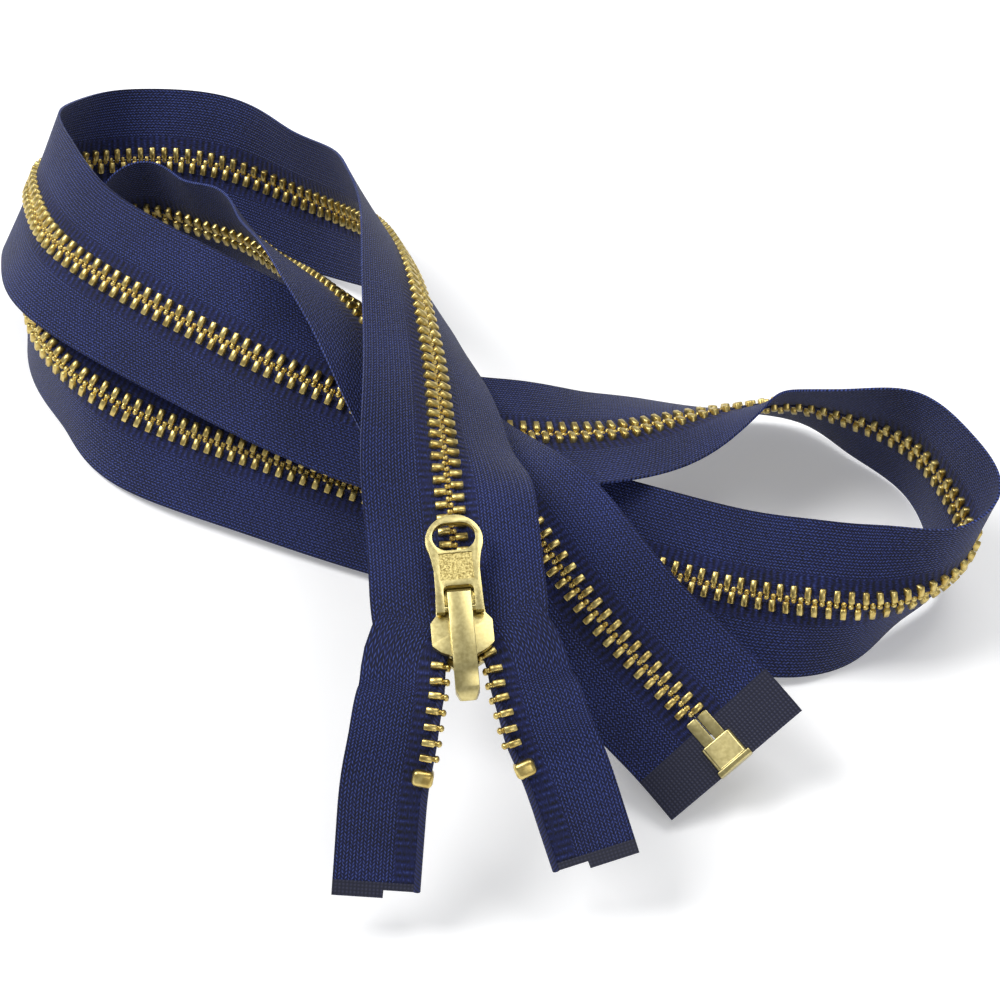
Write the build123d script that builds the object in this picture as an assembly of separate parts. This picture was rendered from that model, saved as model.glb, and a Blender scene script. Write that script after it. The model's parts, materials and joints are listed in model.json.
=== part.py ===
"""Open-end metal zipper, closed for most of its length and laid in loose curls.

Two woven tapes carry interlocking brass teeth. The chain starts at an auto-lock slider, near two
free tape tails with top stops, and runs to a separating pin and retainer box.
Millimetres, +Z up; the finished part stands on Z = 0, centred on the Z axis.
"""
from build123d import *
import math
import os

# ---- driving dimensions -------------------------------------------------------------------------
TAPE_REACH = 16.2          # chain centre line to a tape's outer edge
TAPE_INNER = 1.3           # chain centre line to a tape's inner edge
TAPE_THICK = 0.6
TAPE_RUNS = 12             # stretches that each tape is made in, from the slider to the box
TAPE_STEP = 4.0            # spacing of the sections along a tape

TOOTH_PITCH = 2.8          # on one side; the other side's teeth sit half a pitch further on
TOOTH_HEAD = 0.7           # how far a head reaches past the centre line
TOOTH_LEG = 2.8            # how far the legs reach out over the tape
TOOTH_NECK = 0.35
TOOTH_HEAD_THICK = 0.85
TOOTH_LEG_THICK = 1.05
TOOTH_HEIGHT = 3.0
WORKING_TEETH = (-7.0, 42.0)   # the stretch of chain that the slider passes over
OPEN_TEETH_START = -26.5       # the last open tooth before the top stops
STOP_AT = -29.0
STOP_SIZE = (3.9, 3.2, 3.8)    # across, along and through the tape

PLATE_GAP = 3.5            # between the slider's two plates
PLATE_THICK = 1.1
SLOT_GAP = 1.9             # between the flanges, for the tape
POST_HALF = 1.12
CAP_WIDTH = 4.4
CAP_TOP = 5.9
TAB_AXIS = (2.3, 3.95)     # along the chain and above its middle
TAB_THICK = 1.3
TAB_LENGTH = 18.8          # pivot to the tip
TAB_HEAD = 5.3             # radius of the round end
PAWL_AXIS = (-6.0, 3.4)

PIN_LENGTH = 12.0
PIN_WIDTH = 2.35
PIN_THICK = 1.5
BOX_SIZE = (6.8, 6.4, 4.2)     # across, along and through the tape
BOX_WALL = 0.8
FILM_LENGTH = 10.0
FILM_THICK = 0.15
TAIL_FILM_LENGTH = 3.0
TEETH_END_GAP = 12.4       # chain end to the last tooth

# ---- the route ----------------------------------------------------------------------------------
# Each station is a point on the chain's centre line, the way the left tape leans out from it and
# the way the right tape leans, seen from the slider towards the box with the pull side up.
CHAIN = [
    ((-7.0, -68.5, 41.0), (-16, 0, 0), (16, 0, 0)),
    ((-7.3, -65.6, 41.8), (-16, 0, 0), (16, 0, 0)),
    ((-8.1, -57.0, 44.0), (-16, 0, 0), (16, 0, 0)),
    ((-9.2, -45.5, 47.0), (-16, 0, 0), (16, 0, 0)),
    ((-11.3, -27, 48.2), (-14, -2, 6), (13, 4, -7)),
    ((-13, -9, 46.5), (-13, -1, 9), (11, 5, -10)),
    ((-16, 13, 44), (-11, 0, 11), (8, 2, -13)),
    ((-20, 34, 37.5), (-8, 0, 14), (7, -2, -14)),
    ((-26, 54, 27.5), (-5, 1, 15), (5, -6, -14)),
    ((-35, 71, 17.5), (-1, 2, 16), (2, -9, -13)),
    ((-47, 83, 13), (1, 2, 16), (0, -11, -12)),
    ((-70, 94, 12.5), (2, 9, 12), (0, -11, -12)),
    ((-90, 94, 13), (3, 8, 13), (-1, -10, -12)),
    ((-103, 82, 20.5), (5, 4, 14), (-6, -7, -13)),
    ((-102, 63, 28), (8, 8, 11), (-7, -9, -11)),
    ((-94, 44, 32.5), (9, 10, 9), (-8, -10, -10)),
    ((-75, 27.5, 32.5), (8, 10, 10), (-8, -10, -10)),
    ((-59, 17.5, 31), (7, 10, 10), (-7, -10, -10)),
    ((-41, 7, 29.5), (5.5, 13.5, 5), (-6, -11, -10)),
    ((-27, 1, 27.5), (3, 14.5, 3.5), (-5, -12, -9)),
    ((-13.5, -3.5, 26.5), (1.5, 16, 0), (-3, -14, -6)),
    ((4, -4.2, 24.5), (1, 16, -1), (-1, -16, 1)),
    ((23, 0, 20.5), (1, 15, -4), (-1, -15, 4)),
    ((38, 7.5, 16.5), (2, 14, -7), (-2, -14, 7)),
    ((55, 13.5, 14.5), (1, 10, -12), (-1, -10, 12)),
    ((63.5, 13, 15.3), (0, 8, -14), (-4.6, -8.2, 12.9)),
    ((72, 9.5, 16), (0, 5, -15), (-3.7, -6.6, 14)),
    ((84, 2, 16), (0, 2, -16), (0, -2, 16)),
    ((92, -12, 16), (-3, 0, -16), (2, 1, 16)),
    ((94, -27, 16), (-6, 0, -15), (4.5, 4, 15)),
    ((87, -36.5, 15.8), (-5, 4, -15), (6, 5, 13)),
    ((74, -42, 15.8), (-3, 1, -15), (2, 9, 12)),
    ((61, -40.5, 15.2), (0, -7, -14), (0, 11, 11)),
    ((49, -36, 12.5), (0, -12, -10), (0, 12, 10)),
    ((32, -29.5, 11.5), (-2, -12, -10), (2, 13, 9)),
    ((12, -22, 11.5), (-2, -12, -10), (2, 13, 8)),
    ((-27, -8, 11.3), (-3, -12, -10), (3, 13, 8)),
    ((-52, 2.5, 11.5), (-4, -12, -10), (4, 12, 9)),
    ((-74, 12.5, 12), (-6, -9, -11), (6, 11, 9)),
    ((-89.5, 21, 15.5), (-5, 0, -14), (9, 10, 8)),
    ((-101, 38, 16), (-3, 2, -15), (10.5, 4, 10.5)),
    ((-102, 58, 16), (-2, 1, -16), (11, -2, 11)),
    ((-95, 70, 15.8), (-2, 1, -16), (5, -9, 12)),
    ((-78, 73, 16), (-1, 2, -16), (1, -2, 16)),
    ((-66, 67, 17), (0, 4, -15), (0, -4, 15)),
    ((-56, 59, 20), (0, 3, -15), (-3, -2, 15)),
    ((-48, 48, 24), (1, 0, -16), (-6, -2, 14)),
    ((-38, 31, 34), (5, -3, -13), (-10, -1, 11)),
    ((-27, 11, 41.8), (11, 6.5, -9.5), (-11, -8, 9)),
    ((-12, -11, 38.8), (9.5, 7.5, -8.5), (-13, -8, -1)),
    ((6, -36, 32), (11, 10, 3), (-12, -8, -6)),
    ((18, -51, 24.5), (12, 8, 8), (-12, -8, -7)),
    ((29, -60, 17), (12, 8, 8), (-12, -8, -7)),
    ((37.5, -67.5, 12.5), (12, 8, 8), (-12, -8, -7)),
    ((45, -75.5, 8.5), (12, 8, 8), (-12, -8, -7)),
]
# The free tails, from the cut end up to the slider: a point on the line that the tooth heads
# follow, and the tape's lean.
LEFT_TAIL = [
    ((-14.6, -105.4, 8.0), (-16, -0.5, 0)),
    ((-13.5, -97.2, 19.5), (-16, 0, 0)),
    ((-12.6, -92.6, 26.5), (-16, 0, 0)),
    ((-11.4, -88.7, 31.5), (-16, 0.5, -0.5)),
    ((-10.5, -83.8, 35.6), (-16, 0.8, -1)),
    ((-9.9, -80.0, 37.6), (-16, 0.5, -1)),
    ((-9.5, -74.8, 39.3), (-16, 0, 0)),
]
RIGHT_TAIL = [
    ((10.0, -102.5, 10.5), (16, 2.5, 1.5)),
    ((6.6, -96.9, 20.0), (16, 2, 1)),
    ((3.2, -91.3, 28.0), (16, 1.5, 0)),
    ((1.0, -88.0, 32.0), (16, 1, -1)),
    ((-0.5, -83.8, 35.6), (16, 1, -1.5)),
    ((-1.8, -79.5, 37.6), (16, 1, -1.2)),
    ((-3.0, -74.6, 39.3), (16, 1, 0)),
]


# ---- vectors and the tape's spline --------------------------------------------------------------
def add(a, b, scale=1.0):
    return tuple(p + q * scale for p, q in zip(a, b))


def dot(a, b):
    return sum(p * q for p, q in zip(a, b))


def cross(a, b):
    return (a[1] * b[2] - a[2] * b[1], a[2] * b[0] - a[0] * b[2], a[0] * b[1] - a[1] * b[0])


def unit(a):
    size = math.sqrt(dot(a, a))
    return tuple(p / size for p in a)


def spline_slopes(rows, gaps):
    """Slopes of the natural cubic spline through rows, by the tridiagonal elimination."""
    last = len(rows) - 1
    steps = [add(rows[i + 1], rows[i], -1.0) for i in range(last)]
    diagonal, upper, right = [2.0], [1.0], [tuple(3 * v / gaps[0] for v in steps[0])]
    for i in range(1, last):
        low = gaps[i]
        high = gaps[i - 1]
        side = add(
            tuple(3 * v * low / high for v in steps[i - 1]),
            tuple(3 * v * high / low for v in steps[i]),
        )
        factor = low / diagonal[-1]
        diagonal.append(2 * (low + high) - factor * upper[-1])
        upper.append(high)
        right.append(add(side, right[-1], -factor))
    factor = 1.0 / diagonal[-1]
    diagonal.append(2.0 - factor * upper[-1])
    right.append(add(tuple(3 * v / gaps[-1] for v in steps[-1]), right[-1], -factor))
    slopes = [tuple(v / diagonal[-1] for v in right[-1])]
    for i in range(last - 1, -1, -1):
        row = add(right[i], slopes[0], -upper[i])
        slopes.insert(0, tuple(v / diagonal[i] for v in row))
    return slopes


class Line:
    """One tape's line: where the chain runs and how the tape leans, by distance along it."""

    SAMPLES = 24           # between two stations

    def __init__(self, stations, start):
        """Distance is nought at the station numbered start."""
        rows = [(*point, *lean) for point, lean in stations]
        gaps = [math.dist(rows[i][:3], rows[i + 1][:3]) for i in range(len(rows) - 1)]
        slopes = spline_slopes(rows, gaps)
        self.rows = []
        for i, gap in enumerate(gaps):
            for k in range(self.SAMPLES):
                u = k / self.SAMPLES
                weights = (
                    (1 + 2 * u) * (1 - u) ** 2,
                    u * (1 - u) ** 2 * gap,
                    u * u * (3 - 2 * u),
                    u * u * (u - 1) * gap,
                )
                parts = (rows[i], slopes[i], rows[i + 1], slopes[i + 1])
                self.rows.append(
                    tuple(sum(w * p[j] for w, p in zip(weights, parts)) for j in range(6))
                )
        self.rows.append(rows[-1])
        self.along = [0.0]
        for a, b in zip(self.rows, self.rows[1:]):
            self.along.append(self.along[-1] + math.dist(a[:3], b[:3]))
        zero = self.along[start * self.SAMPLES]
        self.along = [s - zero for s in self.along]
        self.first = self.along[0]
        self.last = self.along[-1]

    def row(self, s):
        low = 0
        high = len(self.along) - 1
        while high - low > 1:
            middle = (low + high) // 2
            if self.along[middle] <= s:
                low = middle
            else:
                high = middle
        u = (s - self.along[low]) / (self.along[high] - self.along[low])
        return add(self.rows[low], add(self.rows[high], self.rows[low], -1.0), u)

    def frame(self, s, side):
        """Point, direction along, lean across and front normal. side is -1 left, 1 right."""
        reach = 0.4
        before = self.row(max(s - reach, self.first))
        after = self.row(min(s + reach, self.last))
        along = unit(add(after[:3], before[:3], -1.0))
        row = self.row(s)
        lean = row[3:]
        lean = unit(add(lean, along, -dot(lean, along)))
        normal = cross(along, lean) if side < 0 else cross(lean, along)
        return row[:3], along, lean, normal


LEFT, RIGHT = -1, 1
NAMES = {LEFT: "left", RIGHT: "right"}
GATHER = {LEFT: 0.8, RIGHT: 1.5}
LINES = {
    LEFT: Line(LEFT_TAIL + [(p, left) for p, left, right in CHAIN], len(LEFT_TAIL)),
    RIGHT: Line(RIGHT_TAIL + [(p, right) for p, left, right in CHAIN], len(RIGHT_TAIL)),
}
CHAIN_END = min(LINES[LEFT].last, LINES[RIGHT].last)


def place(side, s, across=0.0, out=0.0):
    """A point on a tape: s along it, across from the centre line, out from its middle plane."""
    point, along, lean, normal = LINES[side].frame(s, side)
    return add(add(point, lean, across), normal, out)


# ---- woven pieces -------------------------------------------------------------------------------
def outer_edge(side, s):
    """Across to a tape's outer edge. The cloth gathers a little just below the slider."""
    return TAPE_REACH - GATHER[side] * math.exp(-((s + 7.0) / 6.5) ** 2)


def strip(side, start, end, inner, under, over, step=TAPE_STEP):
    """A closed strip of flat facets that follows the tape from start to end."""
    count = max(1, math.ceil((end - start) / step))
    sections = []
    for k in range(count + 1):
        s = start + (end - start) * k / count
        outer = outer_edge(side, s)
        corners = ((inner, under), (outer, under), (outer, over), (inner, over))
        sections.append([place(side, s, across, out) for across, out in corners])
    faces = [Face(Wire.make_polygon(sections[0])), Face(Wire.make_polygon(sections[-1]))]
    for a, b in zip(sections, sections[1:]):
        for i in range(4):
            j = (i + 1) % 4
            faces.append(Face(Wire.make_polygon([a[i], a[j], b[j]])))
            faces.append(Face(Wire.make_polygon([a[i], b[j], b[i]])))
    return Solid(Shell(faces))


# ---- metal on the tapes -------------------------------------------------------------------------
def tape_plane(side, s):
    """A plane on the tape: X out along the lean, Z on the pull side."""
    point, along, lean, normal = LINES[side].frame(s, side)
    return Plane(origin=point, x_dir=lean, z_dir=normal)


def tooth():
    """One tooth seen from the front: a narrow head at the centre line and wider clamped legs."""
    outline = [
        (-TOOTH_HEAD, -TOOTH_HEAD_THICK / 2),
        (TOOTH_NECK, -TOOTH_HEAD_THICK / 2),
        (TOOTH_NECK, -TOOTH_LEG_THICK / 2),
        (TOOTH_LEG, -TOOTH_LEG_THICK / 2),
        (TOOTH_LEG, TOOTH_LEG_THICK / 2),
        (TOOTH_NECK, TOOTH_LEG_THICK / 2),
        (TOOTH_NECK, TOOTH_HEAD_THICK / 2),
        (-TOOTH_HEAD, TOOTH_HEAD_THICK / 2),
    ]
    face = make_face(Polyline(*outline, close=True))
    return extrude(face, TOOTH_HEIGHT / 2, both=True)


def teeth_row(side, start, end):
    """The teeth of one side whose places lie from start to end."""
    shift = 0.0 if side == LEFT else TOOTH_PITCH / 2
    first = math.ceil((start - shift) / TOOTH_PITCH)
    last = math.ceil((end - shift) / TOOTH_PITCH)
    pattern = tooth()
    row = [
        pattern.moved(tape_plane(side, k * TOOTH_PITCH + shift).location)
        for k in range(first, last)
    ]
    return Compound(children=row)


def top_stop(side):
    across, along, through = STOP_SIZE
    block = Box(across, along, through)
    block = fillet(block.edges().filter_by(Axis.Z), 0.7)
    return block.moved(tape_plane(side, STOP_AT).location * Pos(1.5, 0, 0))


# ---- separating end -----------------------------------------------------------------------------
def end_plane(back):
    """Plane on the chain, back from its end: X to the right tape, Y away from the slider."""
    s = CHAIN_END - back
    point, along, lean, normal = LINES[RIGHT].frame(s, RIGHT)
    return Plane(origin=point, x_dir=lean, z_dir=normal)


def end_pin(side):
    """A flat separating pin on one side, from the last tooth into the box."""
    pin = Box(PIN_WIDTH, PIN_LENGTH - 1.6, PIN_THICK)
    pin = chamfer(pin.edges().filter_by(Axis.Z), 0.3)
    middle = 1.6 + (PIN_LENGTH - 1.6) / 2
    offset = side * (PIN_WIDTH / 2 + 0.15)
    return pin.moved(end_plane(middle).location * Pos(offset, 0, 0))


def retainer_box():
    """The box, open towards the chain so that the pins can enter, with a slit for each tape."""
    across, along, through = BOX_SIZE
    body = Box(across, along, through)
    body = chamfer(body.edges().filter_by(Axis.Y), 0.5)
    lip = Box(across + 0.9, 1.2, through + 0.5).moved(Pos(0, along / 2 - 0.6, 0))
    body = body + lip
    socket = Box(5.2, along, 1.8).moved(Pos(0, -BOX_WALL - 0.5, 0))
    body = body - socket
    return body.moved(end_plane(BOX_SIZE[1] / 2 - 0.1).location)


# ---- the slider ---------------------------------------------------------------------------------
def slider_plane():
    """Origin where the rows meet, X to the right tape, Y up the closed chain, Z on the pull side."""
    point = LINES[RIGHT].row(0.0)[:3]
    ahead = LINES[RIGHT].row(24.0)[:3]
    along = unit(add(ahead, point, -1.0))
    lean = unit(add((1.0, 0.0, 0.0), along, -along[0]))
    return Plane(origin=point, x_dir=lean, z_dir=cross(lean, along))


def mirrored(points):
    """A closed outline from its right-hand half, listed from the top down."""
    return points + [(-x, y) for x, y in reversed(points)]


def prism(points, low, high, radius=0.0):
    face = make_face(Polyline(*points, close=True))
    if radius:
        face = fillet(face.vertices(), radius)
    return extrude(face.moved(Pos(0, 0, low)), high - low, dir=(0, 0, 1))


def slider_body():
    """Two plates joined by the diamond post, with flanges that steer the teeth."""
    inside = PLATE_GAP / 2
    outside = inside + PLATE_THICK
    top = mirrored([(4.2, 7.0), (4.5, 1.6), (5.65, 0.1), (5.65, -4.3), (4.2, -5.6), (2.2, -6.5), (1.9, -11.3)])
    bottom = mirrored([(4.2, 7.0), (4.5, 1.6), (5.65, 0.1), (5.65, -4.3), (4.2, -5.6), (2.1, -6.8), (1.7, -10.8)])
    body = prism(top, inside, outside, 0.7) + prism(bottom, -outside, -inside, 0.7)
    post = [(0.0, -3.3), (0.7, -4.9), (POST_HALF, -6.4), (POST_HALF, -10.8),
            (-POST_HALF, -10.8), (-POST_HALF, -6.4), (-0.7, -4.9)]
    body = body + prism(post, -inside - 0.2, inside + 0.2)
    flange = [(3.35, 6.6), (4.15, 6.6), (4.4, 1.8), (5.55, 0.2), (5.55, -3.5), (5.25, -3.9), (4.85, -3.5),
              (3.75, 0.3)]
    for sign in (1, -1):
        wall = [(sign * x, y) for x, y in flange]
        body = body + prism(wall, SLOT_GAP / 2, inside + 0.2)
        body = body + prism(wall, -inside - 0.2, -SLOT_GAP / 2)
    pawl_hole = Box(2.0, 1.6, 4.0).moved(Pos(0, -0.1, inside + PLATE_THICK))
    return (body - pawl_hole).moved(slider_plane().location)


def slider_cap():
    """The bridge over the pawl: it holds the pull tab's bar and wraps down over the nose."""
    floor = PLATE_GAP / 2 + PLATE_THICK
    side = [(5.6, floor), (5.6, CAP_TOP - 0.8), (4.8, CAP_TOP), (-9.0, CAP_TOP - 0.2), (-11.0, 5.0),
            (-13.0, 3.8), (-14.5, 2.4), (-14.9, 1.3), (-14.6, 0.6), (-11.6, 0.6), (-11.6, floor)]
    profile = make_face(Polyline(*side, close=True))
    across = Plane(origin=(0, 0, 0), x_dir=(0, 1, 0), z_dir=(1, 0, 0))
    cap = extrude(profile.moved(across.location), CAP_WIDTH / 2, both=True)
    bar_y, bar_z = TAB_AXIS
    bar_slot = Box(CAP_WIDTH + 2, 2.4, 2.1).moved(Pos(0, bar_y, floor + 1.05))
    pawl_room = Box(2.6, 10.2, 2.1).moved(Pos(0, bar_y - 1.0 - 5.1, floor + 1.05))
    half = CAP_WIDTH / 2
    tongue = prism(mirrored([(half, 6.0), (half, -13.2), (half - 0.6, -14.5), (half - 1.4, -15.0)]), 0.0, 8.0)
    return (cap & tongue - bar_slot - pawl_room).moved(slider_plane().location)


def lock_pawl():
    """A lever under the cap, whose tip drops on to the teeth."""
    pivot_y, pivot_z = PAWL_AXIS
    arm = Box(1.8, 6.6, 0.7).moved(Pos(0, pivot_y + 3.0, pivot_z))
    tip = Box(1.2, 0.8, 1.9).moved(Pos(0, 0.0, pivot_z - 0.85))
    pivot = Cylinder(0.45, 2.3, rotation=(0, 90, 0)).moved(Pos(0, pivot_y, pivot_z))
    return (arm + tip + pivot).moved(slider_plane().location)


def pawl_spring():
    """A leaf under the cap's roof that presses on the lever's pivot end."""
    leaf = Box(1.6, 5.6, 0.15).moved(Pos(0, -5.8, 4.62))
    return leaf.moved(slider_plane().location)


def pull_tab():
    """The tab: a round bar under the cap, two legs beside it, a sunk panel and an oval hole."""
    leg_top = 4.4
    middle = TAB_LENGTH - TAB_HEAD
    outline = mirrored([(4.85, middle - 2.1), (4.5, 9.8), (4.2, 7.6), (4.3, leg_top), (4.35, -0.85)])
    blade = prism(outline, -TAB_THICK / 2, TAB_THICK / 2)
    head = Cylinder(TAB_HEAD, TAB_THICK).moved(Pos(0, middle, 0))
    window = Box(5.6, leg_top + 1.3, 4.0)
    window = fillet(window.edges().filter_by(Axis.Z), 1.0).moved(Pos(0, (leg_top - 1.3) / 2, 0))
    window = window + Box(5.6, 2.4, 4.0).moved(Pos(0, -0.1, 0))
    hole = Box(8.0, 5.7, 4.0)
    hole = fillet(hole.edges().filter_by(Axis.Z), 2.75).moved(Pos(0, middle + 0.85, 0))
    panel = Box(6.2, 5.5, 0.5).moved(Pos(0, 8.25, TAB_THICK / 2))
    bar = Cylinder(0.65, 6.4, rotation=(0, 90, 0))
    tab = (blade + head) - window - hole - panel + bar
    axis_y, axis_z = TAB_AXIS
    return tab.moved(slider_plane().location * Pos(0, axis_y, axis_z))


# ---- assembly -----------------------------------------------------------------------------------
def all_nodes():
    nodes = {}
    half = TAPE_THICK / 2
    for side in (LEFT, RIGHT):
        name = NAMES[side]
        start = LINES[side].first
        nodes[f"{name}_tape_tail"] = strip(side, start, 0.0, TAPE_INNER, -half, half)
        for k in range(TAPE_RUNS):
            a = CHAIN_END * k / TAPE_RUNS
            b = CHAIN_END * (k + 1) / TAPE_RUNS
            nodes[f"{name}_tape_{k + 1:02d}"] = strip(side, a, b, TAPE_INNER, -half, half)
        low, high = WORKING_TEETH
        nodes[f"{name}_open_teeth"] = teeth_row(side, OPEN_TEETH_START, low)
        nodes[f"{name}_working_teeth"] = teeth_row(side, low, high)
        nodes[f"{name}_closed_teeth"] = teeth_row(side, high, CHAIN_END - TEETH_END_GAP)
        nodes[f"{name}_top_stop"] = top_stop(side)
        box_edge = BOX_SIZE[0] / 2 + 0.6
        film = strip(side, CHAIN_END - FILM_LENGTH, CHAIN_END, box_edge, half, half + FILM_THICK)
        nodes[f"{name}_end_film"] = film
        tail = strip(side, start, start + TAIL_FILM_LENGTH, TAPE_INNER, half, half + FILM_THICK)
        nodes[f"{name}_tail_film"] = tail
    nodes["insertion_pin"] = end_pin(LEFT)
    nodes["retainer_pin"] = end_pin(RIGHT)
    nodes["retainer_box"] = retainer_box()
    nodes["slider_body"] = slider_body()
    nodes["slider_cap"] = slider_cap()
    nodes["lock_pawl"] = lock_pawl()
    nodes["pawl_spring"] = pawl_spring()
    nodes["pull_tab"] = pull_tab()
    return nodes


def main():
    nodes = all_nodes()
    boxes = [shape.bounding_box() for shape in nodes.values()]
    low = [min(getattr(b.min, axis) for b in boxes) for axis in "XYZ"]
    high = [max(getattr(b.max, axis) for b in boxes) for axis in "XYZ"]
    shift = Pos(-(low[0] + high[0]) / 2, -(low[1] + high[1]) / 2, -low[2])
    os.makedirs("parts", exist_ok=True)
    for name, shape in nodes.items():
        export_step(shape.moved(shift), f"parts/{name}.step")
    base = shift * slider_plane().location
    print("shift", tuple(shift.position), "size", [round(b - a, 3) for a, b in zip(low, high)])
    for label, (y, z) in {"slider": (0, 0), "tab axis": TAB_AXIS, "pawl axis": PAWL_AXIS}.items():
        print(label, tuple(round(v, 5) for v in (base * Pos(0, y, z)).position))
    frame = slider_plane()
    print("across", frame.x_dir, "along", frame.y_dir, "front", frame.z_dir)
    print("chain length", round(CHAIN_END, 2), "tails", [round(-LINES[k].first, 2) for k in LINES])


main()
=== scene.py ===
import json
import math

import bpy
import numpy as np
from mathutils import Matrix, Vector

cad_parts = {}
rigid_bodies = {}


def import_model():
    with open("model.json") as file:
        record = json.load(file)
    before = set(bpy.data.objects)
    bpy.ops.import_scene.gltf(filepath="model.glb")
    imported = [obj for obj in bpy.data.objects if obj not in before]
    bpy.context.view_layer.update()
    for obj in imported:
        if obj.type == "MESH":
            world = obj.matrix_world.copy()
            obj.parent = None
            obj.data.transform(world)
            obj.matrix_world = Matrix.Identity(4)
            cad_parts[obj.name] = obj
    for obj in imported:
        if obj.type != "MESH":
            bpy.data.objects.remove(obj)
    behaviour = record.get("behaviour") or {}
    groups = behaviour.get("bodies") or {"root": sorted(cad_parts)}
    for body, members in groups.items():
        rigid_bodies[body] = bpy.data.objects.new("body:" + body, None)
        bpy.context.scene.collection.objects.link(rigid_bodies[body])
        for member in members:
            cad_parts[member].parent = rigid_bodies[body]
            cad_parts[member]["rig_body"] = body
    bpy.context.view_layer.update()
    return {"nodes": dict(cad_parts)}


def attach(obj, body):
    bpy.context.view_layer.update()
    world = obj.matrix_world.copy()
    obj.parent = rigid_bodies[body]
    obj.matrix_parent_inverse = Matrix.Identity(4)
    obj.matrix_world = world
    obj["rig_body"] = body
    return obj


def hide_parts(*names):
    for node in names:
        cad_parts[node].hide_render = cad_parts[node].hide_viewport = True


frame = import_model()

bpy.ops.object.select_all(action="DESELECT")

# ---- sizes, in millimetres until a mesh is made; distances across start at the chain's middle ----
MM = 0.001
SHIFT = np.array([6.476709, 0.010558, 0.470872])  # from the route's origin to the middle of the footprint
TAPE_INNER = 0.5
TAPE_REACH = 16.2
TAPE_HALF = 0.25           # half its thickness
TAPE_STEP = 1.5            # between the sections along a tape
GATHER_MIDDLE = -7.0       # just below the slider each outer edge pulls in, by GATHER
GATHER_SPREAD = 6.5
BEAD_MIDDLE = 0.72
BEAD_RADIUS = 0.7
BEAD_SIDES = 10
BEAD_TURN = 3.2            # how much plait goes once round the cord
FILM_THICK = 0.08
TOOTH_PITCH = 2.8
WORKING_TEETH = (-7.0, 42.0)   # the stretch that the slider passes over
TAB_AXIS = (2.3, 3.95)     # the tab's bar, along the chain from the slider's origin and above its middle
PANEL_MIDDLE = (8.25, 0.44)    # the tab's sunk panel, past its bar and above the tab's middle
PANEL_SIZE = (6.1, 5.4, 0.08)
SLIDER_AIM = 24.0          # the slider points at the chain this far on
BOX_NOTCH = 3.9
BOX_NOTCH_LENGTH = 6.5
NOTCH_GAP = 0.02           # half the width in which a notch's edge steps
TAIL_NOTCH = 6.8           # how far across from the head line the tail's step reaches
TAIL_NOTCH_LENGTH = 1.5
FILM_LENGTH = 10.0
TAIL_FILM_LENGTH = 3.0
OPEN_TEETH_START = -26.5
STOP_AT = -29.0
TEETH_END_GAP = 12.4

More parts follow.
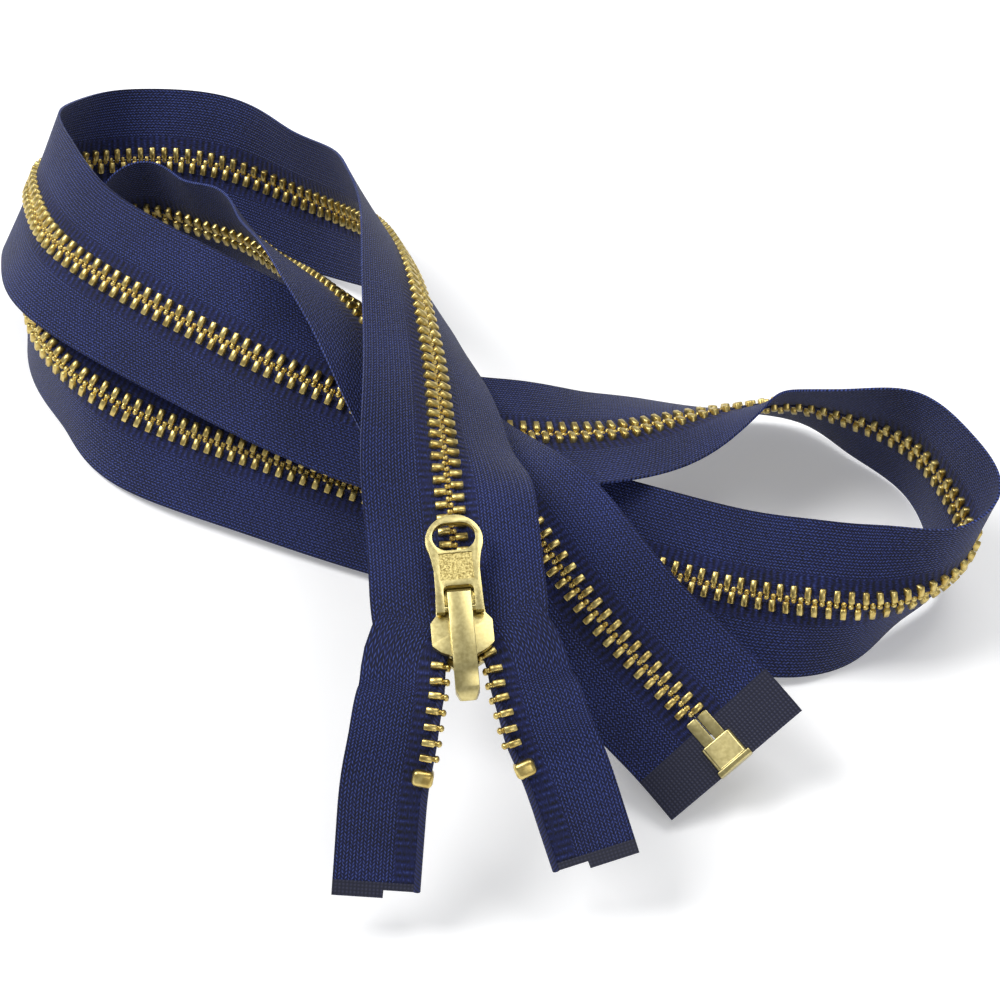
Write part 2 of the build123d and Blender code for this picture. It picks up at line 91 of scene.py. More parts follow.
# ---- the route: chain point, left lean, right lean, from the slider to the box ----
CHAIN = [
    ((-7.0, -68.5, 41.0), (-16, 0, 0), (16, 0, 0)),
    ((-7.3, -65.6, 41.8), (-16, 0, 0), (16, 0, 0)),
    ((-8.1, -57.0, 44.0), (-16, 0, 0), (16, 0, 0)),
    ((-9.2, -45.5, 47.0), (-16, 0, 0), (16, 0, 0)),
    ((-11.3, -27, 48.2), (-14, -2, 6), (13, 4, -7)),
    ((-13, -9, 46.5), (-13, -1, 9), (11, 5, -10)),
    ((-16, 13, 44), (-11, 0, 11), (8, 2, -13)),
    ((-20, 34, 37.5), (-8, 0, 14), (7, -2, -14)),
    ((-26, 54, 27.5), (-5, 1, 15), (5, -6, -14)),
    ((-35, 71, 17.5), (-1, 2, 16), (2, -9, -13)),
    ((-47, 83, 13), (1, 2, 16), (0, -11, -12)),
    ((-70, 94, 12.5), (2, 9, 12), (0, -11, -12)),
    ((-90, 94, 13), (3, 8, 13), (-1, -10, -12)),
    ((-103, 82, 20.5), (5, 4, 14), (-6, -7, -13)),
    ((-102, 63, 28), (8, 8, 11), (-7, -9, -11)),
    ((-94, 44, 32.5), (9, 10, 9), (-8, -10, -10)),
    ((-75, 27.5, 32.5), (8, 10, 10), (-8, -10, -10)),
    ((-59, 17.5, 31), (7, 10, 10), (-7, -10, -10)),
    ((-41, 7, 29.5), (5.5, 13.5, 5), (-6, -11, -10)),
    ((-27, 1, 27.5), (3, 14.5, 3.5), (-5, -12, -9)),
    ((-13.5, -3.5, 26.5), (1.5, 16, 0), (-3, -14, -6)),
    ((4, -4.2, 24.5), (1, 16, -1), (-1, -16, 1)),
    ((23, 0, 20.5), (1, 15, -4), (-1, -15, 4)),
    ((38, 7.5, 16.5), (2, 14, -7), (-2, -14, 7)),
    ((55, 13.5, 14.5), (1, 10, -12), (-1, -10, 12)),
    ((63.5, 13, 15.3), (0, 8, -14), (-4.6, -8.2, 12.9)),
    ((72, 9.5, 16), (0, 5, -15), (-3.7, -6.6, 14)),
    ((84, 2, 16), (0, 2, -16), (0, -2, 16)),
    ((92, -12, 16), (-3, 0, -16), (2, 1, 16)),
    ((94, -27, 16), (-6, 0, -15), (4.5, 4, 15)),
    ((87, -36.5, 15.8), (-5, 4, -15), (6, 5, 13)),
    ((74, -42, 15.8), (-3, 1, -15), (2, 9, 12)),
    ((61, -40.5, 15.2), (0, -7, -14), (0, 11, 11)),
    ((49, -36, 12.5), (0, -12, -10), (0, 12, 10)),
    ((32, -29.5, 11.5), (-2, -12, -10), (2, 13, 9)),
    ((12, -22, 11.5), (-2, -12, -10), (2, 13, 8)),
    ((-27, -8, 11.3), (-3, -12, -10), (3, 13, 8)),
    ((-52, 2.5, 11.5), (-4, -12, -10), (4, 12, 9)),
    ((-74, 12.5, 12), (-6, -9, -11), (6, 11, 9)),
    ((-89.5, 21, 15.5), (-5, 0, -14), (9, 10, 8)),
    ((-101, 38, 16), (-3, 2, -15), (10.5, 4, 10.5)),
    ((-102, 58, 16), (-2, 1, -16), (11, -2, 11)),
    ((-95, 70, 15.8), (-2, 1, -16), (5, -9, 12)),
    ((-78, 73, 16), (-1, 2, -16), (1, -2, 16)),
    ((-66, 67, 17), (0, 4, -15), (0, -4, 15)),
    ((-56, 59, 20), (0, 3, -15), (-3, -2, 15)),
    ((-48, 48, 24), (1, 0, -16), (-6, -2, 14)),
    ((-38, 31, 34), (5, -3, -13), (-10, -1, 11)),
    ((-27, 11, 41.8), (11, 6.5, -9.5), (-11, -8, 9)),
    ((-12, -11, 38.8), (9.5, 7.5, -8.5), (-13, -8, -1)),
    ((6, -36, 32), (11, 10, 3), (-12, -8, -6)),
    ((18, -51, 24.5), (12, 8, 8), (-12, -8, -7)),
    ((29, -60, 17), (12, 8, 8), (-12, -8, -7)),
    ((37.5, -67.5, 12.5), (12, 8, 8), (-12, -8, -7)),
    ((45, -75.5, 8.5), (12, 8, 8), (-12, -8, -7)),
]
# The free tails, from the cut end up to the slider.
LEFT_TAIL = [
    ((-14.6, -105.4, 8.0), (-16, -0.5, 0)),
    ((-13.5, -97.2, 19.5), (-16, 0, 0)),
    ((-12.6, -92.6, 26.5), (-16, 0, 0)),
    ((-11.4, -88.7, 31.5), (-16, 0.5, -0.5)),
    ((-10.5, -83.8, 35.6), (-16, 0.8, -1)),
    ((-9.9, -80.0, 37.6), (-16, 0.5, -1)),
    ((-9.5, -74.8, 39.3), (-16, 0, 0)),
]
RIGHT_TAIL = [
    ((10.0, -102.5, 10.5), (16, 2.5, 1.5)),
    ((6.6, -96.9, 20.0), (16, 2, 1)),
    ((3.2, -91.3, 28.0), (16, 1.5, 0)),
    ((1.0, -88.0, 32.0), (16, 1, -1)),
    ((-0.5, -83.8, 35.6), (16, 1, -1.5)),
    ((-1.8, -79.5, 37.6), (16, 1, -1.2)),
    ((-3.0, -74.6, 39.3), (16, 1, 0)),
]
LEFT, RIGHT = -1, 1
SIDE_NAMES = {LEFT: "left", RIGHT: "right"}


class TapeLine:
    """Natural cubic spline through the stations, read by distance along the tape."""

    def __init__(self, stations, start):
        rows = np.array([(*point, *lean) for point, lean in stations], float)
        gaps = np.linalg.norm(np.diff(rows[:, :3], axis=0), axis=1)
        last = len(rows) - 1
        system = np.zeros((last + 1, last + 1))
        wanted = np.zeros((last + 1, 6))
        slope = np.diff(rows, axis=0) / gaps[:, None]
        system[0, :2] = 2, 1
        system[last, last - 1:] = 1, 2
        wanted[0] = 3 * slope[0]
        wanted[last] = 3 * slope[-1]
        for i in range(1, last):
            system[i, i - 1:i + 2] = gaps[i], 2 * (gaps[i - 1] + gaps[i]), gaps[i - 1]
            wanted[i] = 3 * (gaps[i] * slope[i - 1] + gaps[i - 1] * slope[i])
        slopes = np.linalg.solve(system, wanted)
        u = (np.arange(24) / 24)[:, None]
        pieces = []
        for i, gap in enumerate(gaps):
            pieces.append(
                (1 + 2 * u) * (1 - u) ** 2 * rows[i]
                + u * (1 - u) ** 2 * gap * slopes[i]
                + u * u * (3 - 2 * u) * rows[i + 1]
                + u * u * (u - 1) * gap * slopes[i + 1]
            )
        self.rows = np.vstack([*pieces, rows[-1:]])
        steps = np.linalg.norm(np.diff(self.rows[:, :3], axis=0), axis=1)
        self.along = np.concatenate([[0.0], np.cumsum(steps)])
        self.along -= self.along[start * 24]
        self.first = self.along[0]
        self.last = self.along[-1]

    def read(self, s):
        return np.stack([np.interp(s, self.along, self.rows[:, k]) for k in range(6)], -1)

    def frames(self, s, side):
        """Points, directions along, leans and front normals at the distances s."""
        s = np.atleast_1d(np.asarray(s, float))
        reach = 0.4
        ahead = self.read(np.minimum(s + reach, self.last))[:, :3]
        behind = self.read(np.maximum(s - reach, self.first))[:, :3]
        along = ahead - behind
        along /= np.linalg.norm(along, axis=1)[:, None]
        rows = self.read(s)
        lean = rows[:, 3:] - (rows[:, 3:] * along).sum(1)[:, None] * along
        lean /= np.linalg.norm(lean, axis=1)[:, None]
        normal = side * np.cross(lean, along)
        return rows[:, :3] + SHIFT, along, lean, normal


GATHER = {LEFT: 0.8, RIGHT: 1.5}
LINES = {
    LEFT: TapeLine(LEFT_TAIL + [(p, left) for p, left, right in CHAIN], len(LEFT_TAIL)),
    RIGHT: TapeLine(RIGHT_TAIL + [(p, right) for p, left, right in CHAIN], len(RIGHT_TAIL)),
}
CHAIN_END = min(LINES[LEFT].last, LINES[RIGHT].last)
TAPE_NODES = {
    side: [f"{name}_tape_tail"] + [f"{name}_tape_{k:02d}" for k in range(1, 13)]
    for side, name in SIDE_NAMES.items()
}


# ---- materials ----
def linear(code):
    """A hex sRGB colour as linear red, green, blue and alpha."""
    channels = [int(code[i:i + 2], 16) / 255 for i in (1, 3, 5)]
    straight = [c / 12.92 if c <= 0.04045 else ((c + 0.055) / 1.055) ** 2.4 for c in channels]
    return (*straight, 1.0)


def node(tree, kind, settings=None, **links):
    """Adds a node; settings are properties or numbered inputs, links go to inputs by name or number."""
    made = tree.nodes.new(kind)
    for key, value in (settings or {}).items():
        if isinstance(key, int) or key in made.inputs.keys():
            made.inputs[key].default_value = value
        else:
            setattr(made, key, value)
    for key, source in links.items():
        slot_key = int(key[1:]) if key[1:].isdigit() else key.replace("_", " ")
        tree.links.new(source, made.inputs[slot_key])
    return made


def new_material(name):
    material = bpy.data.materials.new(name)
    material.use_nodes = True
    tree = material.node_tree
    return material, tree, tree.nodes["Principled BSDF"]


def sine_of(tree, source, length):
    """A wave from 0 to 1 that repeats every length millimetres."""
    turns = node(tree, "ShaderNodeMath", {"operation": "MULTIPLY", 1: 2 * math.pi / length}, i0=source)
    wave = node(tree, "ShaderNodeMath", {"operation": "SINE"}, i0=turns.outputs[0])
    return node(tree, "ShaderNodeMath", {"operation": "MULTIPLY_ADD", 1: 0.5, 2: 0.5}, i0=wave.outputs[0])


def woven_polyester_tape():
    """Woven polyester: fine navy twill floats with painted highlight on them and painted shade in the gaps
    between, with ladder ribs by the teeth.
    """
    material, tree, shader = new_material("woven_polyester_tape")
    cloth = node(tree, "ShaderNodeUVMap", {"uv_map": "cloth"})
    split = node(tree, "ShaderNodeSeparateXYZ", i0=cloth.outputs[0])
    across, along = split.outputs[0], split.outputs[1]
    place = node(tree, "ShaderNodeTexCoord")
    cloudy = node(tree, "ShaderNodeTexNoise", {"Scale": 60.0, "Detail": 2.0}, Vector=place.outputs["Object"])
    # short floats of yarn, 0.3 mm wide and 0.7 mm long, that break up the regular twill
    longer = {"operation": "MULTIPLY", 1: (1.0, 0.42, 1.0)}
    drawn = node(tree, "ShaderNodeVectorMath", longer, i0=cloth.outputs[0])
    fibre = node(tree, "ShaderNodeTexNoise", {"Scale": 3.4, "Detail": 1.5}, Vector=drawn.outputs[0])
    # twill in columns 0.62 mm wide, drawn twice as coarse as the thread so that it shows
    fold = node(tree, "ShaderNodeMath", {"operation": "PINGPONG", 1: 0.62}, i0=across)
    slant = node(tree, "ShaderNodeMath", {"operation": "MULTIPLY_ADD", 1: 1.3}, i0=fold.outputs[0], i2=along)
    twill = sine_of(tree, slant.outputs[0], 0.72)
    wale = sine_of(tree, across, 0.62)
    body = node(tree, "ShaderNodeMath", {"operation": "MULTIPLY"}, i0=twill.outputs[0], i1=wale.outputs[0])
    # ladder ribs, two to each tooth, on the band that the teeth pull on
    rib = sine_of(tree, along, TOOTH_PITCH / 2)
    low_rib = node(tree, "ShaderNodeMath", {"operation": "MULTIPLY", 1: 0.38}, i0=rib.outputs[0])
    fade = {"interpolation_type": "SMOOTHSTEP", "From Min": 4.6, "From Max": 5.6, "To Min": 1.0, "To Max": 0.0}
    near = node(tree, "ShaderNodeMapRange", fade, Value=across)
    height = node(tree, "ShaderNodeMix", {"data_type": "FLOAT"}, i0=near.outputs[0], i2=body.outputs[0],
                  i3=low_rib.outputs[0])
    rough = node(tree, "ShaderNodeMath", {"operation": "MULTIPLY_ADD", 1: 1.3}, i0=fibre.outputs[0],
                 i2=height.outputs[0])
    # the colour follows the weave's height as well as its bump: painted shade in the gaps and rib hollows,
    # painted highlight on the floats and ribs; the cloudy noise adds random tone
    weave_tone_and_painted_shade = node(tree, "ShaderNodeMath", {"operation": "MULTIPLY_ADD", 1: 0.4}, i0=cloudy.outputs[0],
                i2=rough.outputs[0])
    even = node(tree, "ShaderNodeMapRange", {"From Min": 0.75, "From Max": 1.75}, Value=weave_tone_and_painted_shade.outputs[0])
    ramp = node(tree, "ShaderNodeValToRGB", i0=even.outputs[0])
    # the dark end is painted shade in the weave's gaps, the light end painted highlight on its floats
    ramp.color_ramp.elements[0].color = linear("#06091B")
    ramp.color_ramp.elements[1].color = linear("#42549C")
    middle = ramp.color_ramp.elements.new(0.5)
    middle.color = linear("#161F54")
    bump = node(tree, "ShaderNodeBump", {"Strength": 0.8, "Distance": 0.0002}, Height=rough.outputs[0])
    tree.links.new(ramp.outputs[0], shader.inputs["Base Color"])
    tree.links.new(bump.outputs[0], shader.inputs["Normal"])
    shader.inputs["Roughness"].default_value = 0.72
    shader.inputs["Specular IOR Level"].default_value = 0.25
    shader.inputs["Sheen Weight"].default_value = 0.12
    return material


def braided_bead():
    """The polyester cord at the tape's edge: fine slanting plaits, a little darker than the tape, with painted
    shade in the grooves and painted highlight on the ridges.
    """
    material, tree, shader = new_material("braided_bead")
    cloth = node(tree, "ShaderNodeUVMap", {"uv_map": "cloth"})
    split = node(tree, "ShaderNodeSeparateXYZ", i0=cloth.outputs[0])
    slant = node(tree, "ShaderNodeMath", {"operation": "ADD"}, i0=split.outputs[0], i1=split.outputs[1])
    plait = sine_of(tree, slant.outputs[0], 0.8)
    # the colour follows the plaits' relief: painted shade in the grooves, painted highlight on the ridges
    ramp = node(tree, "ShaderNodeValToRGB", i0=plait.outputs[0])
    ramp.color_ramp.elements[0].color = linear("#0A0F2C")
    ramp.color_ramp.elements[1].color = linear("#1E2860")
    bump = node(tree, "ShaderNodeBump", {"Strength": 0.8, "Distance": 0.0002}, Height=plait.outputs[0])
    tree.links.new(ramp.outputs[0], shader.inputs["Base Color"])
    tree.links.new(bump.outputs[0], shader.inputs["Normal"])
    shader.inputs["Roughness"].default_value = 0.7
    return material


def metal(name, light, dark, roughness, grain, bump_height):
    """A copper alloy: its colour runs from light to dark in a fine grain that also breaks the gloss."""
    material, tree, shader = new_material(name)
    place = node(tree, "ShaderNodeTexCoord")
    noise = node(tree, "ShaderNodeTexNoise", {"Scale": grain, "Detail": 4.0}, Vector=place.outputs["Object"])
    ramp = node(tree, "ShaderNodeValToRGB", i0=noise.outputs[0])
    ramp.color_ramp.elements[0].position = 0.35
    ramp.color_ramp.elements[0].color = linear(dark)
    ramp.color_ramp.elements[1].position = 0.65
    ramp.color_ramp.elements[1].color = linear(light)
    gloss = node(tree, "ShaderNodeMapRange", {"To Min": roughness * 0.8, "To Max": roughness * 1.25},
                 Value=noise.outputs[0])
    bump = node(tree, "ShaderNodeBump", {"Strength": 0.35, "Distance": bump_height}, Height=noise.outputs[0])
    tree.links.new(ramp.outputs[0], shader.inputs["Base Color"])
    tree.links.new(gloss.outputs[0], shader.inputs["Roughness"])
    tree.links.new(bump.outputs[0], shader.inputs["Normal"])
    shader.inputs["Metallic"].default_value = 1.0
    return material


def dull_film():
    """Heat-sealed nylon film over the tape: darker than the cloth, with the weave faintly through it."""
    material, tree, shader = new_material("dull_film")
    cloth = node(tree, "ShaderNodeUVMap", {"uv_map": "cloth"})
    split = node(tree, "ShaderNodeSeparateXYZ", i0=cloth.outputs[0])
    warp = sine_of(tree, split.outputs[0], 0.7)
    weft = sine_of(tree, split.outputs[1], 0.7)
    grid = node(tree, "ShaderNodeMath", {"operation": "MULTIPLY"}, i0=warp.outputs[0], i1=weft.outputs[0])
    ramp = node(tree, "ShaderNodeValToRGB", i0=grid.outputs[0])
    ramp.color_ramp.elements[0].color = linear("#12142A")
    ramp.color_ramp.elements[1].color = linear("#2A2D48")
    bump = node(tree, "ShaderNodeBump", {"Strength": 0.5, "Distance": 0.0001}, Height=grid.outputs[0])
    tree.links.new(ramp.outputs[0], shader.inputs["Base Color"])
    tree.links.new(bump.outputs[0], shader.inputs["Normal"])
    shader.inputs["Roughness"].default_value = 0.42
    return material


TAPE = woven_polyester_tape()
BEAD = braided_bead()
FILM = dull_film()
# stamped wire, tumbled: soft warm gleams
TOOTH_BRASS = metal("polished_tooth_brass", "#E3CF86", "#BFA55E", 0.34, 700.0, 0.00002)
# die-cast zinc under a satin gold plate: paler and greener than the teeth, almost without grain
SLIDER_BRASS = metal("satin_gold_plate", "#D4C68C", "#C4B57A", 0.3, 1400.0, 0.000012)
# the same plate over a sandy cast grain, 0.4 mm across, that sparkles
PANEL_BRASS = metal("grained_gold_panel", "#DCCB88", "#8E7C46", 0.36, 2600.0, 0.0002)
# rolled spring steel: plain grey
SPRING_STEEL = metal("spring_steel", "#C8C8C8", "#8C8C8C", 0.3, 900.0, 0.00003)


# ---- cloth pieces, which follow the tape ----
def woven_strip(name, side, start, end, columns, under, over, cut, material):
    """A closed strip. columns are distances across; cut(across) gives the start and end there."""
    count = max(2, math.ceil((end - start) / TAPE_STEP))
    base = np.linspace(start, end, count + 1)
    # below the slider the cloth gathers a little, so that its outer edge runs on straight
    gather = GATHER[side] * np.exp(-((base - GATHER_MIDDLE) / GATHER_SPREAD) ** 2)
    verts, marks = [], []
    for out in (over, under):
        grid, mark = [], []
        for across in columns:
            low, high = cut(across)
            s = np.clip(base, low, high)
            point, _, lean, normal = LINES[side].frames(s, side)
            reach = across - gather * (across / TAPE_REACH) ** 2
            grid.append(point + lean * reach[:, None] + normal * out)
            mark.append(np.stack([np.full_like(s, across), s], -1))
        verts.append(np.stack(grid, 1))
        marks.append(np.stack(mark, 1))
    rows, width = verts[0].shape[:2]
    points = np.concatenate([v.reshape(-1, 3) for v in verts]) * MM
    labels = np.concatenate([m.reshape(-1, 2) for m in marks])
    half = rows * width
    faces = []
    for i in range(rows - 1):
        for j in range(width - 1):
            a, b, c, d = i * width + j, i * width + j + 1, (i + 1) * width + j + 1, (i + 1) * width + j
            faces.append((a, b, c, d) if side == RIGHT else (d, c, b, a))
            lower = (half + d, half + c, half + b, half + a)
            faces.append(lower if side == RIGHT else lower[::-1])
    rim = [i * width for i in range(rows)]
    rim += [(rows - 1) * width + j for j in range(1, width)]
    rim += [i * width + width - 1 for i in range(rows - 2, -1, -1)]
    rim += [j for j in range(width - 2, 0, -1)]
    for a, b in zip(rim, rim[1:] + rim[:1]):
        wall = (a, b, half + b, half + a)
        faces.append(wall if side == RIGHT else wall[::-1])
    return mesh_piece(name, points, faces, labels, material)


def mesh_piece(name, points, faces, labels, material):
    """A smooth-shaded piece; labels, where given, are distances across and along for its cloth map."""
    mesh = bpy.data.meshes.new(name)
    mesh.from_pydata([tuple(p) for p in points], [], faces)
    if labels is not None:
        layer = mesh.uv_layers.new(name="cloth")
        corners = np.empty(len(mesh.loops), dtype=np.int32)
        mesh.loops.foreach_get("vertex_index", corners)
        layer.data.foreach_set("uv", labels[corners].astype(np.float32).ravel())
    mesh.materials.append(material)
    piece = bpy.data.objects.new(name, mesh)
    bpy.context.scene.collection.objects.link(piece)
    shade(piece, 50)
    return piece


def shade(piece, angle):
    bpy.ops.object.select_all(action="DESELECT")
    bpy.context.view_layer.objects.active = piece
    piece.select_set(True)
    bpy.ops.object.shade_smooth_by_angle(angle=math.radians(angle))
    piece.select_set(False)


def outward(piece):
    """Turns every face of a piece to look outwards."""
    bpy.context.view_layer.objects.active = piece
    piece.select_set(True)
    bpy.ops.object.mode_set(mode="EDIT")
    bpy.ops.mesh.select_all(action="SELECT")
    bpy.ops.mesh.normals_make_consistent(inside=False)
    bpy.ops.object.mode_set(mode="OBJECT")
    piece.select_set(False)


def tape_columns(inner, notch):
    """Distances across the tape, with two close together at a notch's edge."""
    plain = [inner, 2.3, 3.6, 5.2, 8.0, 10.8, 13.4, 15.4, TAPE_REACH]
    return sorted([c for c in plain if abs(c - notch) > 0.4] + [notch - NOTCH_GAP, notch + NOTCH_GAP])


def tape(side):
    """One whole tape, with the step at its tail and the notch for the box."""
    name = SIDE_NAMES[side]
    line = LINES[side]

    def cut(across):
        low = line.first + (TAIL_NOTCH_LENGTH if across < TAIL_NOTCH else 0.0)
        high = CHAIN_END - (BOX_NOTCH_LENGTH if across < BOX_NOTCH else 0.0)
        return low, high

    box_edges = [BOX_NOTCH - NOTCH_GAP, BOX_NOTCH + NOTCH_GAP]
    columns = sorted(set(tape_columns(TAPE_INNER, TAIL_NOTCH) + box_edges))
    piece = woven_strip(
        f"{name}_tape", side, line.first, CHAIN_END, columns, -TAPE_HALF, TAPE_HALF, cut, TAPE
    )
    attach(piece, "chain")
    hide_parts(*TAPE_NODES[side])


def bead(side):
    """The cord woven into the tape's inner edge, which the teeth clamp on."""
    name = SIDE_NAMES[side]
    line = LINES[side]
    s = np.arange(line.first + TAIL_NOTCH_LENGTH, CHAIN_END - BOX_NOTCH_LENGTH, TAPE_STEP)
    point, _, lean, normal = line.frames(s, side)
    rings, labels = [], []
    for k in range(BEAD_SIDES):
        turn = 2 * math.pi * k / BEAD_SIDES
        out = lean * (BEAD_MIDDLE + BEAD_RADIUS * math.cos(turn)) + normal * BEAD_RADIUS * math.sin(turn)
        rings.append(point + out)
        labels.append(np.stack([np.full_like(s, BEAD_TURN * k / BEAD_SIDES), s], -1))
    points = np.stack(rings, 1).reshape(-1, 3) * MM
    labels = np.stack(labels, 1).reshape(-1, 2)
    first_ring = tuple(range(BEAD_SIDES))
    last_ring = tuple(len(points) - BEAD_SIDES + k for k in first_ring)
    faces = [first_ring[::-1], last_ring]
    for i in range(len(s) - 1):
        low, high = i * BEAD_SIDES, (i + 1) * BEAD_SIDES
        for k in range(BEAD_SIDES):
            m = (k + 1) % BEAD_SIDES
            faces.append((low + k, low + m, high + m, high + k))
    if side == RIGHT:
        faces = [f[::-1] for f in faces]
    piece = mesh_piece(f"{name}_bead", points, faces, labels, BEAD)
    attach(piece, "chain")


def film(name, side, start, end, inner, cut):
    """One film, on both faces of the tape."""
    columns = tape_columns(inner, TAIL_NOTCH)
    outside = TAPE_HALF + FILM_THICK
    for face_name, under, over in (("front", TAPE_HALF, outside), ("back", -outside, -TAPE_HALF)):
        piece = woven_strip(f"{name}_{face_name}", side, start, end, columns, under, over, cut, FILM)
        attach(piece, "chain")
        if face_name == "front":
            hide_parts(name)


def films(side):
    """The film that stiffens the tape beside the box, and the one at the tail's cut end."""
    name = SIDE_NAMES[side]
    first = LINES[side].first
    box_start = CHAIN_END - FILM_LENGTH
    tail_end = first + TAIL_FILM_LENGTH

    def box_cut(across):
        return box_start, CHAIN_END

    def tail_cut(across):
        return first + (TAIL_NOTCH_LENGTH if across < TAIL_NOTCH else 0.0), tail_end

    film(f"{name}_end_film", side, box_start, CHAIN_END, BOX_NOTCH + 0.05, box_cut)
    film(f"{name}_tail_film", side, first, tail_end, TAPE_INNER, tail_cut)


# ---- teeth ----
def rounded_block(low, high, edge, segments=1):
    """A block between two corners with its edges rounded, as points and faces."""
    size = Vector(high) - Vector(low)
    middle = (Vector(high) + Vector(low)) / 2
    bpy.ops.mesh.primitive_cube_add(size=1)
    block = bpy.context.object
    bpy.ops.object.mode_set(mode="EDIT")
    bpy.ops.mesh.select_all(action="SELECT")
    bpy.ops.transform.resize(value=size)
    bpy.ops.mesh.bevel(offset=edge, segments=segments, affect="EDGES")
    bpy.ops.object.mode_set(mode="OBJECT")
    points = np.array([v.co + middle for v in block.data.vertices])
    faces = [tuple(p.vertices) for p in block.data.polygons]
    bpy.data.objects.remove(block)
    return points, faces


def ball(middle, radii):
    """A small rounded nub, as points and faces."""
    bpy.ops.mesh.primitive_uv_sphere_add(segments=10, ring_count=6, radius=1)
    nub = bpy.context.object
    points = np.array([v.co for v in nub.data.vertices]) * radii + middle
    faces = [tuple(p.vertices) for p in nub.data.polygons]
    bpy.data.objects.remove(nub)
    return points, faces


def tooth_shape():
    """One tooth: clamped legs over the bead, a lower neck and a rounded knob at the centre line."""
    blocks = [
        rounded_block((0.4, -0.6, -1.5), (2.8, 0.6, 1.5), 0.18),
        rounded_block((-0.75, -0.48, -0.8), (0.7, 0.48, 0.72), 0.18),
        ball((-0.3, 0.0, 0.1), (0.6, 0.68, 0.92)),
    ]
    points, faces = [], []
    for block_points, block_faces in blocks:
        start = sum(len(p) for p in points)
        points.append(block_points)
        faces += [tuple(v + start for v in f) for f in block_faces]
    return np.concatenate(points), faces


TOOTH_POINTS, TOOTH_FACES = tooth_shape()


def teeth(side, label, start, end):
    """The teeth of one side between two distances, each set on its own bit of tape."""
    name = f"{SIDE_NAMES[side]}_{label}_teeth"
    shift = 0.0 if side == LEFT else TOOTH_PITCH / 2
    first = math.ceil((start - shift) / TOOTH_PITCH)
    last = math.ceil((end - shift) / TOOTH_PITCH)
    s = np.arange(first, last) * TOOTH_PITCH + shift
    point, along, lean, normal = LINES[side].frames(s, side)
    points, faces = [], []
    for k in range(len(s)):
        start_index = k * len(TOOTH_POINTS)
        points.append(point[k] + TOOTH_POINTS @ np.stack([lean[k], along[k], normal[k]]))
        faces += [tuple(v + start_index for v in face) for face in TOOTH_FACES]
    piece = mesh_piece(name + "_set", np.concatenate(points) * MM, faces, None, TOOTH_BRASS)
    outward(piece)
    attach(piece, "chain")
    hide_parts(name)


def top_stop(side):
    """The brass nugget squeezed round the bead above the last tooth."""
    name = f"{SIDE_NAMES[side]}_top_stop"
    local, faces = rounded_block((-0.45, -1.55, -1.85), (3.45, 1.55, 1.85), 0.95, 4)
    point, along, lean, normal = (v[0] for v in LINES[side].frames(STOP_AT, side))
    placed = point + local @ np.stack([lean, along, normal])
    piece = mesh_piece(name + "_nugget", placed * MM, faces, None, TOOTH_BRASS)
    outward(piece)
    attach(piece, "chain")
    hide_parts(name)


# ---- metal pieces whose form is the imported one, with their edges worked ----
def finished(node_name, edge, material, segments=3):
    """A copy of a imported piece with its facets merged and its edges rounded."""
    source = frame["nodes"][node_name]
    piece = bpy.data.objects.new(node_name + "_finished", source.data.copy())
    bpy.context.scene.collection.objects.link(piece)
    bpy.context.view_layer.objects.active = piece
    piece.select_set(True)
    bpy.ops.object.mode_set(mode="EDIT")
    bpy.ops.mesh.select_all(action="SELECT")
    bpy.ops.mesh.remove_doubles(threshold=0.000002)
    bpy.ops.mesh.dissolve_limited(angle_limit=math.radians(2))
    bpy.ops.object.mode_set(mode="OBJECT")
    rounding = piece.modifiers.new("rounded_edges", "BEVEL")
    rounding.width = edge * MM
    rounding.segments = segments
    rounding.limit_method = "ANGLE"
    rounding.angle_limit = math.radians(28)
    bpy.ops.object.modifier_apply(modifier=rounding.name)
    piece.data.materials.clear()
    piece.data.materials.append(material)
    piece.select_set(False)
    shade(piece, 40)
    body = source["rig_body"]
    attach(piece, body)
    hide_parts(node_name)


def grained_panel():
    """The rough field sunk in the tab's face, where a plain texture stands in for lettering."""
    point = LINES[RIGHT].frames(0.0, RIGHT)[0][0]
    along = LINES[RIGHT].read(SLIDER_AIM)[:3] + SHIFT - point
    along /= np.linalg.norm(along)
    across = np.array([1.0, 0.0, 0.0]) - along[0] * along
    across /= np.linalg.norm(across)
    front = np.cross(across, along)
    bar_along, bar_height = TAB_AXIS
    past_bar, above_middle = PANEL_MIDDLE
    middle = (point + along * (bar_along + past_bar) + front * (bar_height + above_middle)) * MM
    turn = Matrix(np.stack([across, along, front], 1).tolist()).to_4x4()
    bpy.ops.mesh.primitive_cube_add(size=1)
    piece = bpy.context.object
    piece.name = "grained_panel"
    piece.scale = Vector(PANEL_SIZE) * MM
    piece.matrix_world = Matrix.Translation(Vector(middle)) @ turn @ piece.matrix_basis
    bpy.ops.object.transform_apply(location=True, rotation=True, scale=True)
    piece.data.materials.append(PANEL_BRASS)
    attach(piece, "pull_tab")


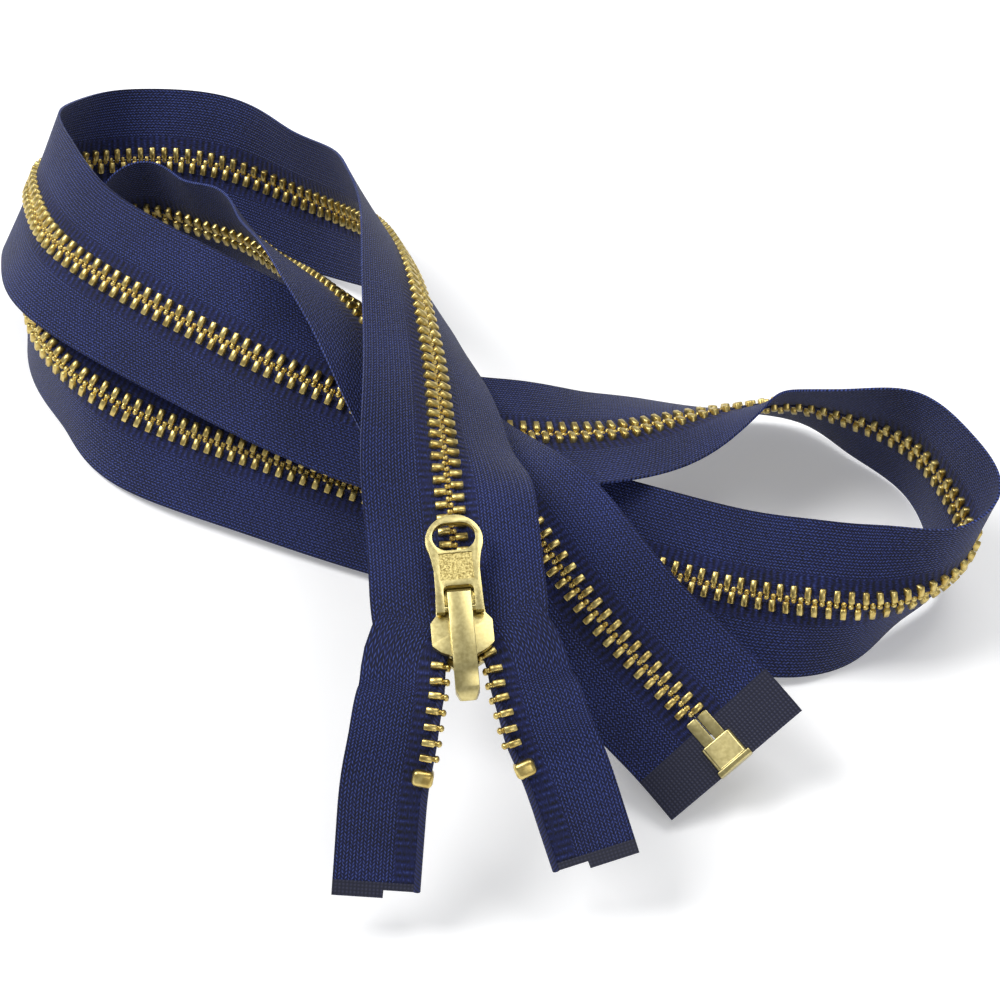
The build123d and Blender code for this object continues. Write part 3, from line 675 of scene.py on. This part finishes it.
# ---- studio ----
def studio():
    """A pale paper floor that glows a little as painted light, a soft room, a window high on the left, a
    ceiling lamp and a card in front.
    """
    bpy.ops.mesh.primitive_plane_add(size=6, location=(0, 0, -0.0004))
    floor = bpy.context.object
    floor.name = "pale_floor"
    material, _, shader = new_material("pale_paper_painted_glow")
    shader.inputs["Base Color"].default_value = linear("#F7F7F7")
    shader.inputs["Roughness"].default_value = 0.9
    # the floor glows a little though it is no lamp: painted light that lifts the shadows on it towards white
    shader.inputs["Emission Color"].default_value = (1.0, 1.0, 1.0, 1.0)
    shader.inputs["Emission Strength"].default_value = 0.22
    floor.data.materials.append(material)
    world = bpy.data.worlds.new("soft_room")
    bpy.context.scene.world = world
    world.use_nodes = True
    back = world.node_tree.nodes["Background"]
    back.inputs[0].default_value = linear("#F4F6FA")
    back.inputs[1].default_value = 0.36
    for name, place, size, power in (
        ("window", (-0.55, 0.1, 0.8), 0.45, 6.5),
        ("ceiling", (0.3, 0.25, 0.95), 0.5, 3.0),
        ("front_card", (0.35, -0.75, 0.55), 0.4, 1.2),
    ):
        data = bpy.data.lights.new(name, "AREA")
        data.size = size
        data.energy = power
        light = bpy.data.objects.new(name, data)
        bpy.context.scene.collection.objects.link(light)
        light.location = place
        light.rotation_euler = (Vector((0, 0, 0)) - Vector(place)).to_track_quat("-Z", "Y").to_euler()
    bpy.context.scene.view_settings.view_transform = "Standard"


def camera():
    """Looks down at 48 degrees from 560 mm away, at the route's origin, through a long lens."""
    elevation = math.radians(48)
    distance = 0.560
    data = bpy.data.cameras.new("camera")
    data.sensor_width = 36
    data.lens = 95.4
    view = bpy.data.objects.new("camera", data)
    bpy.context.scene.collection.objects.link(view)
    target = Vector(SHIFT * MM)
    view.location = target + Vector((0, -math.cos(elevation), math.sin(elevation))) * distance
    view.rotation_euler = (math.pi / 2 - elevation, 0, 0)
    bpy.context.scene.camera = view


def main():
    for side in (LEFT, RIGHT):
        tape(side)
        bead(side)
        films(side)
        teeth(side, "open", OPEN_TEETH_START, WORKING_TEETH[0])
        teeth(side, "working", *WORKING_TEETH)
        teeth(side, "closed", WORKING_TEETH[1], CHAIN_END - TEETH_END_GAP)
        top_stop(side)
    finished("insertion_pin", 0.2, SLIDER_BRASS)
    finished("retainer_pin", 0.2, SLIDER_BRASS)
    finished("retainer_box", 0.5, SLIDER_BRASS)
    finished("slider_body", 0.22, SLIDER_BRASS)
    finished("slider_cap", 0.45, SLIDER_BRASS)
    finished("lock_pawl", 0.1, SPRING_STEEL)
    finished("pawl_spring", 0.03, SPRING_STEEL, 1)
    finished("pull_tab", 0.22, SLIDER_BRASS)
    grained_panel()
    studio()
    camera()


main()
